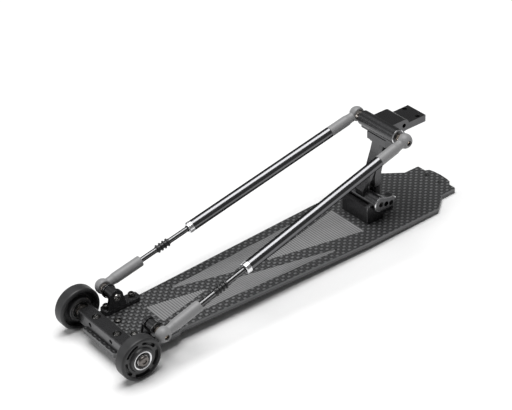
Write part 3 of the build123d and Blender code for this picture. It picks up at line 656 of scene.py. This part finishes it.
@dataclass
class WindowPanel:
    """One ribbed triangular panel, set just below the deck's top."""

    name: str
    grain: Grain
    rib_pitch: float
    rib_height: float = 0.22
    rib_share: float = 0.64
    rib_sink: float = 0.04
    rib_reach: float = 80.0

    def build(self) -> None:
        """Build the panel's base with its ribs standing on it, as one piece; the base between the ribs takes
        a darker grey as painted shade in the grooves.
        """
        node = f"window_{self.name}"
        low, high = node_span(node)
        panel = Shape.copied(node)
        sides = [face for face in panel.mesh.faces if self.is_wall(face)]
        walls = [(face.calc_center_median(), face.normal.copy()) for face in sides]
        top = [vert for vert in panel.mesh.verts if vert.co.z > high.z - 0.01]
        bmesh.ops.translate(panel.mesh, verts=top, vec=(0, 0, -self.rib_height))
        for middle in self.rib_places(low, high):
            rib = self.rib(middle, (low + high) / 2, high.z)
            for point, outwards in walls:
                rib.cut(point, outwards)
            panel.joined(rib.tidied())
        # The base takes the darker grey as painted shade in the grooves; the ribs keep the panel's own grey.
        finishes = ["groove", "rib"]
        panel.made(f"window_panel_{self.name}", "deck", "window_panel", finishes, [node], smooth_under=20.0)

    @staticmethod
    def is_wall(face: bmesh.types.BMFace) -> bool:
        """Tell whether a face belongs to the panel's upright sides."""
        return abs(face.normal.z) < 0.1

    def rib_places(self, low: Vector, high: Vector) -> list[float]:
        """Return where the ribs' middles lie across their run."""
        index = 0 if self.grain is Grain.ACROSS_DECK else 1
        count = math.ceil((high[index] - low[index]) / self.rib_pitch)
        return [low[index] + (number + 0.5) * self.rib_pitch for number in range(count)]

    def rib(self, middle: float, centre: Vector, top: float) -> Shape:
        """Build one rib, longer than the panel.

        Args:
            middle: The rib's place across its run.
            centre: The panel's middle.
            top: The height of its crest.

        Returns:
            The rib.
        """
        half = self.rib_pitch * self.rib_share / 2
        crest = half * 0.6
        foot, reach = -self.rib_sink, self.rib_reach
        section = [(-half, foot), (half, foot), (crest, self.rib_height), (-crest, self.rib_height)]
        shape = Shape.prism(section, 2 * reach)
        shelf = top - self.rib_height
        if self.grain is Grain.ACROSS_DECK:
            lie = Matrix(((1, 0, 0, middle), (0, 0, 1, centre.y - reach), (0, 1, 0, shelf), (0, 0, 0, 1)))
        else:
            lie = Matrix(((0, 0, 1, centre.x - reach), (1, 0, 0, middle), (0, 1, 0, shelf), (0, 0, 0, 1)))
        bmesh.ops.transform(shape.mesh, matrix=lie, verts=shape.mesh.verts[:])
        return shape.tidied().painted(1, lambda face: True)


@dataclass
class Deck:
    """The carbon plate with its panels and screws."""

    edge_round: float = 0.18
    broad_pitch: float = 1.6
    narrow_pitch: float = 1.3

    def build(self) -> None:
        """Build the plate, the four panels and the two deck screws."""
        plate = Shape.copied("deck_plate").rounded(self.edge_round, segments=2)
        plate.painted(1, lambda face: abs(face.normal.z) < 0.6)
        plate.replacing("deck_plate", "deck", "carbon_plate", ["weave", "plies"])
        for name in ("front", "rear"):
            WindowPanel(name, Grain.ACROSS_DECK, self.broad_pitch).build()
        for side in Side:
            WindowPanel(side.word, Grain.ALONG_DECK, self.narrow_pitch).build()
        self.build_screws()

    def build_screws(self) -> None:
        """Build the two button screws behind the axle block."""
        low, high = node_span("deck_screws")
        screw = SocketScrew(2.1, 1.2, 1.2, 2.6)
        seat_z = high.z - screw.head_t
        both = Shape()
        for side in Side:
            both.joined(screw.shape(((low.x + high.x) / 2, side.value * (high.y - screw.head_r), seat_z)))
        both.replacing("deck_screws", "deck", "black_steel", ["black_steel"])


@dataclass
class AxleBlock:
    """The bar across the front that carries both axles."""

    edge_round: float = 0.3
    hole_y: float = 9.7

    def build(self) -> None:
        """Build the bar and its two hold-down screws."""
        refined("axle_block", "deck", self.edge_round)
        low, high = node_span("axle_block_screws")
        screw = SocketScrew(2.2, 1.3, 1.25, 8.0)
        both = Shape()
        for side in Side:
            seat = ((low.x + high.x) / 2, side.value * self.hole_y, high.z - screw.head_t)
            both.joined(screw.shape(seat))
        both.replacing("axle_block_screws", "deck", "black_steel", ["black_steel"])


@dataclass
class Wheel:
    """One wheel: its rim, tyre and bearings, with the bolt and the bush that it turns on."""

    side: Side
    inner_y: float = 24.9
    outer_y: float = 32.3
    hub_y: float = 33.0
    tyre_r: float = 12.5
    seat_r: float = 11.0
    shoulder: float = 1.25
    bearing_r: float = 5.48
    bearing_w: float = 4.0
    race: float = 0.9
    bore_r: float = 2.5
    bush_r: float = 3.6
    seal_inset: float = 0.7
    seal_t: float = 0.2
    seal_gap: float = 0.25
    # How far out from the inboard end the races take the painted shade.
    dull_depth: float = 1.0
    rim_round: float = 0.22

    def build(self) -> None:
        """Build every piece of the wheel."""
        word = self.side.word
        body = f"wheel_{word}"
        self.centre = in_millimetres(JOINTS[f"{body}_spin"]["pos_m"])
        rim = Shape.copied(f"rim_{word}").rounded(self.rim_round)
        rim.replacing(f"rim_{word}", body, "wheel_plastic", ["wheel"])
        self.build_tyre(body, word)
        self.build_bearings(body, word)
        self.build_axle(word)

    def turned(self, profile: Sequence[Pair], closed: bool) -> Shape:
        """Turn a section about the axle, measured outwards along this side."""
        outwards = (0, self.side.value, 0)
        return Shape.turned(profile, closed).placed((self.centre.x, 0.0, self.centre.z), outwards)

    def build_tyre(self, body: str, word: str) -> None:
        """Build the smooth tyre band with its rounded shoulders."""
        near, far, top = self.inner_y, self.outer_y, self.tyre_r
        arc = [math.pi / 2 * step / 6 for step in range(7)]
        shoulder = [(self.shoulder * (1 - math.sin(a)), self.shoulder * (1 - math.cos(a))) for a in arc]
        section = [(near, self.seat_r)]
        section += [(near + step, top - drop) for step, drop in reversed(shoulder)]
        section += [(far - step, top - drop) for step, drop in shoulder]
        section += [(far, self.seat_r)]
        tyre = self.turned(section, closed=True)
        tyre.replacing(f"tyre_{word}", body, "tyre_rubber", ["tyre"], smooth_under=50.0)

    def bearing_spans(self) -> list[Pair]:
        """Return where the two bearings lie, measured outwards."""
        return [(self.inner_y, self.inner_y + self.bearing_w), (self.hub_y - self.bearing_w, self.hub_y)]

    def rings(self, spans: Sequence[Pair], section: Callable[[float, float], list[Pair]]) -> Shape:
        """Build a set of like rings about the axle.

        Args:
            spans: Where each ring lies, measured outwards.
            section: Gives a ring's section between two places.

        Returns:
            The rings.
        """
        whole = Shape()
        for near, far in spans:
            whole.joined(self.turned(section(near, far), closed=True).rounded(0.05, segments=1))
        return whole

    def outer_race(self, near: float, far: float) -> list[Pair]:
        """Return the section of an outer race, with a narrow face and a slope down to the balls."""
        inner, lip = self.bearing_r - self.race, self.race * 0.5
        return [
            (near, inner + lip), (near, self.bearing_r - 0.1), (near + 0.1, self.bearing_r),
            (far - 0.1, self.bearing_r), (far, self.bearing_r - 0.1), (far, inner + lip), (far - lip, inner),
            (near + lip, inner),
        ]

    def inner_race(self, near: float, far: float) -> list[Pair]:
        """Return the section of an inner race, with a slope down to the balls."""
        outer, lip = self.bore_r + self.race, self.race * 0.4
        return [
            (near, self.bore_r), (near, outer - lip), (near + lip, outer), (far - lip, outer),
            (far, outer - lip), (far, self.bore_r),
        ]

    def seal(self, near: float, far: float) -> list[Pair]:
        """Return the section of a seal between the races."""
        inner, outer = self.bore_r + self.race + self.seal_gap, self.bearing_r - self.race
        return [(near, inner), (near, outer), (far, outer), (far, inner)]

    def build_bearings(self, body: str, word: str) -> None:
        """Build the races and the seals of both bearings."""
        spans = self.bearing_spans()
        outer = self.rings(spans, self.outer_race)
        # The races' inboard ends take the dark rod finish as painted shade on the wheel's inner side.
        self.dull_inboard(outer)
        node = f"bearing_outer_races_{word}"
        outer.made(f"outer_races_{word}", body, "bright_steel", ["edge", "rod"], [node])
        inner = self.rings(spans, self.inner_race)
        self.dull_inboard(inner)
        node = f"bearing_inner_races_{word}"
        inner.made(f"inner_races_{word}", "deck", "bright_steel", ["steel", "rod"], [node])
        first, last = self.seal_inset, self.seal_inset + self.seal_t
        places = [(near + first, near + last) for near, far in spans]
        places += [(far - last, far - first) for near, far in spans]
        seals = self.rings(places, self.seal)
        seals.made(f"bearing_seals_{word}", body, "dark_seal", ["seal"], [f"bearing_shields_{word}"])

    def dull_inboard(self, rings: Shape) -> None:
        """Give the races' inboard ends the darker second finish, as painted shade on the wheel's inner side.
        """
        end = self.inner_y + self.dull_depth
        rings.painted(1, lambda face: abs(face.calc_center_median().y) < end)

    def build_axle(self, word: str) -> None:
        """Build the bush beside the axle block and the axle bolt with its hex socket."""
        low, high = node_span(f"wheel_spacer_{word}")
        near, far = sorted((abs(low.y), abs(high.y)))
        section = [(near, self.bore_r), (near, self.bush_r), (far, self.bush_r), (far, self.bore_r)]
        bush = self.turned(section, closed=True).rounded(0.15)
        bush.made(f"wheel_bush_{word}", "deck", "bright_steel", ["ball"], [f"wheel_spacer_{word}"])
        head = SocketScrew(3.1, 1.3, 2.46, 20.0)
        seat = (self.centre.x, self.side.value * self.hub_y, self.centre.z)
        bolt = head.shape(seat, (0, self.side.value, 0))
        bolt.replacing(f"axle_bolt_{word}", "deck", "black_steel", ["bolt"])


@dataclass
class BallBracket:
    """The bracket on the deck that carries a strut's lower ball."""

    side: Side
    edge_round: float = 0.28

    def build(self) -> None:
        """Build the bracket."""
        word = self.side.word
        refined(f"ball_bracket_{word}", "deck", self.edge_round)


@dataclass
class BracketScrews:
    """The four bracket screws and the two button heads of the lower studs."""

    foot_y: float = 18.9

    def build(self) -> None:
        """Build the screws and the stud heads."""
        low, high = node_span("bracket_screws")
        screw = SocketScrew(2.1, 1.9, 1.2, 5.4)
        seat_z = high.z - screw.head_t
        whole = Shape()
        for side in Side:
            for x in (low.x + screw.head_r, high.x - screw.head_r):
                whole.joined(screw.shape((x, side.value * self.foot_y, seat_z)))
        whole.replacing("bracket_screws", "deck", "black_steel", ["black_steel"])
        low, high = node_span("stud_nuts")
        button = SocketScrew(2.2, 1.4, 1.0, 0.1)
        heads = Shape()
        for side in Side:
            seat = ((low.x + high.x) / 2, side.value * high.y, (low.z + high.z) / 2)
            heads.joined(button.shape(seat, (0, -side.value, 0)))
        heads.made("stud_heads_finished", "deck", "bright_steel", ["steel"], ["stud_nuts"])


@dataclass
class Strut:
    """One telescopic strut between its lower and its upper ball, with both studs."""

    side: Side
    ball_r: float = 2.9
    cup_r: float = 4.4
    socket_r: float = 3.3
    mouth: float = 1.9
    driver_r: float = 1.5
    hex_r: float = 0.95
    barrel_r: float = 3.15
    tube_r: float = 3.15
    bore_r: float = 2.35
    rod_r: float = 1.5
    lower_barrel: float = 25.5
    upper_barrel: float = 20.5
    stop_start: float = 36.0
    fin_pitch: float = 2.2
    fins: int = 4
    collar_start: float = 57.6
    collar_t: float = 3.2
    collar_r: float = 3.35
    guide_end: float = 100.0
    guide_t: float = 8.0
    rod_start: float = 12.5

    def build(self) -> None:
        """Build every piece of the strut."""
        word = self.side.word
        self.lower = in_millimetres(JOINTS[f"strut_pitch_{word}"]["pos_m"])
        self.along = -Vector(JOINTS[f"strut_slide_{word}"]["axis"]).normalized()
        crossbar = node_span(f"upper_ball_stud_{word}")
        middle = (crossbar[0] + crossbar[1]) / 2
        self.length = (middle.x - self.lower.x) / self.along.x
        self.upper = self.lower + self.along * self.length
        lower, upper = self.lower_barrel, self.upper_barrel
        self.build_rod_end(f"lower_rod_end_{word}", f"rod_{word}", self.lower, self.along, lower)
        self.build_rod_end(f"upper_rod_end_{word}", f"tube_{word}", self.upper, -self.along, upper)
        self.build_rod(word)
        self.build_stop(word)
        self.build_tube(word)
        self.build_studs(word)

    def ring(self, start: float, end: float, bore: float, radius: float) -> Shape:
        """Build a sleeve along the strut, between two distances from the lower ball."""
        section = [(start, bore), (start, radius), (end, radius), (end, bore)]
        return Shape.turned(section, closed=True).placed(self.lower, self.along)

    def build_rod_end(self, name: str, body: str, ball: Vector, away: Vector, barrel: float) -> None:
        """Build a moulded rod end: a ball cup, a waist and a barrel, fused into one skin.

        Args:
            name: The CAD node it stands for.
            body: The body that it rides on.
            ball: The middle of the ball.
            away: The direction from the ball along the barrel.
            barrel: The distance from the ball to the barrel's end.
        """
        arc = 14
        section = []
        for radius, order in ((self.cup_r, 1), (self.socket_r, -1)):
            first = math.acos(-self.mouth / radius)
            last = math.asin(self.driver_r / radius)
            angles = [first + (last - first) * step / arc for step in range(arc + 1)]
            section += [(radius * math.cos(angle), radius * math.sin(angle)) for angle in angles[::order]]
        cup = Shape.turned(section, closed=True).placed(ball, (0, self.side.value, 0))
        body_line = [
            (3.5, 0.0), (3.5, 2.75), (5.0, 2.7), (6.5, 2.85), (8.0, self.barrel_r),
            (barrel - 0.3, self.barrel_r), (barrel, self.barrel_r - 0.3), (barrel, self.rod_r + 0.02),
            (barrel - 4.0, self.rod_r + 0.02), (barrel - 4.0, 0.0),
        ]
        cup.joined(Shape.turned(body_line, steps=48).placed(ball, away))
        cup.melted(0.2, 4)
        cup.replacing(name, body, "grey_plastic", ["grey"], smooth_under=60.0)

    def build_rod(self, word: str) -> None:
        """Build the rod and the guide on its end."""
        first, last = self.rod_start, self.guide_end
        profile = [(first, 0.0), (first, self.rod_r), (last, self.rod_r), (last, 0.0)]
        rod = Shape.turned(profile).placed(self.lower, self.along)
        rod.replacing(f"strut_rod_{word}", f"rod_{word}", "bright_steel", ["rod"])
        start, end = self.guide_end - self.guide_t, self.guide_end
        guide = self.ring(start, end, self.rod_r + 0.01, self.bore_r - 0.06).rounded(0.2)
        guide.replacing(f"rod_guide_{word}", f"rod_{word}", "white_plastic", ["white"])

    def build_stop(self, word: str) -> None:
        """Build the ribbed stop on the rod."""
        root, crest, bore = 1.75, 2.48, self.rod_r + 0.01
        section = [(self.stop_start, bore), (self.stop_start, root)]
        for fin in range(self.fins):
            start = self.stop_start + (fin + 0.25) * self.fin_pitch
            section += [(start, root), (start + 0.12, crest - 0.2), (start + 0.3, crest)]
            section += [(start + 0.75, crest), (start + 0.95, crest - 0.2), (start + 1.08, root)]
        end = self.stop_start + self.fins * self.fin_pitch
        section += [(end, root), (end, bore)]
        stop = Shape.turned(section, closed=True).placed(self.lower, self.along)
        stop.replacing(f"bump_stop_{word}", f"rod_{word}", "stop_rubber", ["stop"])

    def build_tube(self, word: str) -> None:
        """Build the tube and the bright collar at its mouth."""
        start = self.collar_start + self.collar_t
        tube = self.ring(start, self.length - self.upper_barrel, self.bore_r, self.tube_r).rounded(0.15)
        tube.replacing(f"strut_tube_{word}", f"tube_{word}", "tube_anodised", ["tube"])
        bore = self.rod_r + 0.06
        section = [
            (self.collar_start, bore + 0.54), (self.collar_start, self.collar_r - 0.35),
            (self.collar_start + 0.35, self.collar_r), (start - 0.2, self.collar_r),
            (start, self.collar_r - 0.15), (start, self.bore_r - 0.02), (start + 5.0, self.bore_r - 0.02),
            (start + 5.0, bore), (self.collar_start + 1.0, bore), (self.collar_start + 1.0, bore + 0.54),
        ]
        collar = Shape.turned(section, closed=True).placed(self.lower, self.along)
        collar.replacing(f"strut_collar_{word}", f"tube_{word}", "bright_aluminium", ["edge"])

    def build_studs(self, word: str) -> None:
        """Build the two ball studs, lower on the bracket and upper in the crossbar."""
        for place, body, ball in (("lower", "deck", self.lower), ("upper", "tower", self.upper)):
            node = f"{place}_ball_stud_{word}"
            low, high = node_span(node)
            inboard = min(abs(low.y), abs(high.y))
            seat = (23.0 if place == "lower" else 15.0) - abs(ball.y)
            neck, pole = math.pi - math.asin(1.45 / self.ball_r), math.asin(self.hex_r / self.ball_r)
            arc = [neck + (pole - neck) * step / 20 for step in range(21)]
            profile = [(inboard - abs(ball.y), 0.0), (inboard - abs(ball.y), 1.25), (seat, 1.25), (seat, 2.3)]
            profile += [(seat + 0.8, 2.3), (seat + 0.8, 1.45)]
            profile += [(self.ball_r * math.cos(angle), self.ball_r * math.sin(angle)) for angle in arc]
            floor = self.ball_r * math.cos(pole) - self.hex_r
            profile += [(floor, self.hex_r), (floor, 0.0)]
            stud = Shape.turned(profile).hexed(self.hex_r).placed(ball, (0, self.side.value, 0))
            stud.replacing(node, body, "ball_metal", ["ball"])


@dataclass
class HingeBlock:
    """The block that the tower tilts in, its cheek plates, pin, bumper and screws."""

    screw_y: float = 6.0
    edge_round: float = 0.3

    def build(self) -> None:
        """Build every piece of the hinge."""
        block = Shape.copied("hinge_block").rounded(self.edge_round)
        front = node_span("hinge_block")[0].x
        block.painted(1, lambda face: self.is_front_corner(face, front))
        block.replacing("hinge_block", "deck", "black_anodised", ["anodised", "edge"])
        for side in Side:
            self.build_cheek(side)
        low, high = node_span("pivot_pin")
        radius = (high.z - low.z) / 2
        middle = (low + high) / 2
        profile = [(-high.y, 0.0), (-high.y, radius), (high.y, radius), (high.y, 0.0)]
        pin = Shape.turned(profile).rounded(0.2).placed((middle.x, 0, middle.z), (0, 1, 0))
        pin.replacing("pivot_pin", "deck", "bright_steel", ["steel"])
        self.build_bumper()
        self.build_screws()

    def is_front_corner(self, face: bmesh.types.BMFace, front: float) -> bool:
        """Tell whether a face belongs to the rounding of an upright front corner."""
        upright = abs(face.normal.z) < 0.1 and 0.3 < abs(face.normal.y) < 0.95
        return upright and face.calc_center_median().x < front + self.edge_round

    def build_cheek(self, side: Side) -> None:
        """Build a cheek plate whose cut outer edge is bright."""
        node = f"cheek_plate_{side.word}"
        low, high = node_span(node)
        face_y = max(abs(low.y), abs(high.y))
        shape = Shape.copied(node)
        shape.painted(1, lambda face: self.is_cut_edge(face, face_y))
        shape.rounded(0.1, over=40.0)
        shape.replacing(node, "deck", "black_anodised", ["anodised", "edge"])

    @staticmethod
    def is_cut_edge(face: bmesh.types.BMFace, face_y: float) -> bool:
        """Tell whether a face belongs to the chamfer round a cheek plate's outer face."""
        slanted = 0.5 < abs(face.normal.y) < 0.9
        return slanted and abs(abs(face.calc_center_median().y) - face_y) < 0.6

    def build_bumper(self) -> None:
        """Build the round rubber bumper under the tower's heel."""
        low, high = node_span("heel_bumper")
        radius = (high.x - low.x) / 2
        middle = (low + high) / 2
        tall = high.z - low.z
        profile = [(0.0, 0.0), (0.0, radius), (tall - 0.6, radius), (tall - 0.15, radius - 0.45)]
        profile += [(tall, radius - 1.0), (tall, 0.0)]
        bumper = Shape.turned(profile).placed((middle.x, middle.y, low.z))
        bumper.replacing("heel_bumper", "deck", "stop_rubber", ["stop"])

    def build_screws(self) -> None:
        """Build the four screws that hold the block down."""
        low, high = node_span("hinge_block_screws")
        screw = SocketScrew(2.1, 1.3, 1.2, 5.8)
        whole = Shape()
        for side in Side:
            for x in (low.x + screw.head_r, high.x - screw.head_r):
                whole.joined(screw.shape((x, side.value * self.screw_y, high.z - screw.head_t)))
        whole.made("hinge_screws_finished", "deck", "black_steel", ["black_steel"], ["hinge_block_screws"])


@dataclass
class Tower:
    """The tilting upright and its head."""

    bar_end_y: float = 15.0
    upright_round: float = 0.3
    head_round: float = 0.25

    def build(self) -> None:
        """Build the upright, the head and the head's screws."""
        refined("tower", "tower", self.upright_round)
        head = Shape.copied("tower_head")
        head.painted(1, self.is_bar_end)
        head.rounded(self.head_round, over=40.0)
        head.replacing("tower_head", "tower", "black_anodised", ["anodised", "edge"])
        self.build_screws()

    def is_bar_end(self, face: bmesh.types.BMFace) -> bool:
        """Tell whether a face belongs to the bright chamfer at an end of the crossbar."""
        slanted = 0.5 < abs(face.normal.y) < 0.9
        return slanted and abs(abs(face.calc_center_median().y) - self.bar_end_y) < 0.6

    def build_screws(self) -> None:
        """Build the four screws driven up into the head."""
        low, high = node_span("head_screws")
        screw = SocketScrew(1.9, 1.5, 1.05, high.z - low.z - 1.5)
        whole = Shape()
        for x in (low.x + screw.head_r, high.x - screw.head_r):
            for y in (low.y + screw.head_r, high.y - screw.head_r):
                whole.joined(screw.shape((x, y, low.z + screw.head_t), (0, 0, -1)))
        whole.replacing("head_screws", "tower", "black_steel", ["black_steel"])


# ------------------------------------------------------------------------------------------
# Studio
# ------------------------------------------------------------------------------------------


@dataclass
class Studio:
    """The floor, the lights and the camera."""

    azimuth: float = -36.84
    elevation: float = 33.24
    roll: float = -2.5
    distance: float = 1.0002
    target: tuple[float, float, float] = (0.0199, 0.0433, 0.0125)
    lens: float = 120.9
    floor_size: float = 8.0
    floor_gap: float = 0.0003
    sensor: float = 36.0

    def build(self) -> None:
        """Set the floor, the lights, the world and the camera."""
        self.lay_floor()
        self.hang_lights()
        self.set_camera()

    def lay_floor(self) -> None:
        """Lay a pale floor that the wheels and the deck's tail both touch."""
        deck_low, deck_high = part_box("deck_plate")
        wheels_x = JOINTS["wheel_left_spin"]["pos_m"][0]
        slope = math.atan2(deck_low.z, deck_high.x - wheels_x)
        mesh = bmesh.new()
        bmesh.ops.create_grid(mesh, x_segments=1, y_segments=1, size=self.floor_size / 2)
        tilt = Matrix.Translation((wheels_x, 0, -self.floor_gap)) @ Matrix.Rotation(-slope, 4, "Y")
        bmesh.ops.transform(mesh, matrix=tilt, verts=mesh.verts[:])
        data = bpy.data.meshes.new("floor")
        mesh.to_mesh(data)
        mesh.free()
        board = NodeBoard("Pale floor")
        board.shader.inputs["Base Color"].default_value = (0.92, 0.92, 0.92, 1)
        board.shader.inputs["Roughness"].default_value = 0.9
        board.shader.inputs["Specular IOR Level"].default_value = 0.1
        data.materials.append(board.material)
        floor = bpy.data.objects.new("floor", data)
        bpy.context.scene.collection.objects.link(floor)

    def hang_lights(self) -> None:
        """Hang the soft lights and set a dim surround."""
        self.hang("overhead", (0.0, 0.15, 1.9), (1.5, 1.5), 42.0)
        self.hang("front_left", (-1.3, 0.7, 0.9), (0.5, 0.8), 5.0)
        world = bpy.data.worlds.new("surround")
        world.use_nodes = True
        world.node_tree.nodes["Background"].inputs["Color"].default_value = (1, 1, 1, 1)
        world.node_tree.nodes["Background"].inputs["Strength"].default_value = 0.15
        bpy.context.scene.world = world
        bpy.context.scene.view_settings.view_transform = "Standard"

    def hang(self, name: str, place: Sequence[float], size: Pair, power: float) -> None:
        """Hang one soft light that points at the object.

        Args:
            name: The light's name.
            place: Where it hangs, in metres.
            size: Its width and height, in metres.
            power: Its power, in watts.
        """
        light = bpy.data.lights.new(name, "AREA")
        light.shape = "RECTANGLE"
        light.size, light.size_y = size
        light.energy = power
        lamp = bpy.data.objects.new(name, light)
        bpy.context.scene.collection.objects.link(lamp)
        lamp.location = place
        lamp.rotation_euler = (-Vector(place)).to_track_quat("-Z", "Y").to_euler()

    def set_camera(self) -> None:
        """Set the camera at its view of the object."""
        turn, lift, lean = (math.radians(a) for a in (self.azimuth, self.elevation, self.roll))
        back = Vector((math.sin(turn) * math.cos(lift), -math.cos(turn) * math.cos(lift), math.sin(lift)))
        right = Vector((math.cos(turn), math.sin(turn), 0.0))
        up = back.cross(right)
        right, up = right * math.cos(lean) + up * math.sin(lean), up * math.cos(lean) - right * math.sin(lean)
        place = Vector(self.target) + back * self.distance
        data = bpy.data.cameras.new("camera")
        data.lens = self.lens
        data.sensor_width = self.sensor
        camera = bpy.data.objects.new("camera", data)
        bpy.context.scene.collection.objects.link(camera)
        camera.matrix_world = Matrix.Translation(place) @ Matrix((right, up, back)).transposed().to_4x4()
        bpy.context.scene.camera = camera


def dress_the_rest() -> None:
    """Give the CAD nodes that stay in view their finishes."""
    for side in Side:
        for slot in frame["nodes"][f"bearing_balls_{side.word}"].material_slots:
            slot.material = PAINTS["ball"]


def main() -> None:
    """Build the wheelie bar's sub-assemblies in order, then the studio."""
    logging.basicConfig(level=logging.INFO, format="%(name)s: %(message)s")
    Studio().build()
    Deck().build()
    AxleBlock().build()
    BracketScrews().build()
    for side in Side:
        Wheel(side).build()
        BallBracket(side).build()
        Strut(side).build()
    HingeBlock().build()
    Tower().build()
    dress_the_rest()


if __name__ == "__main__":
    main()
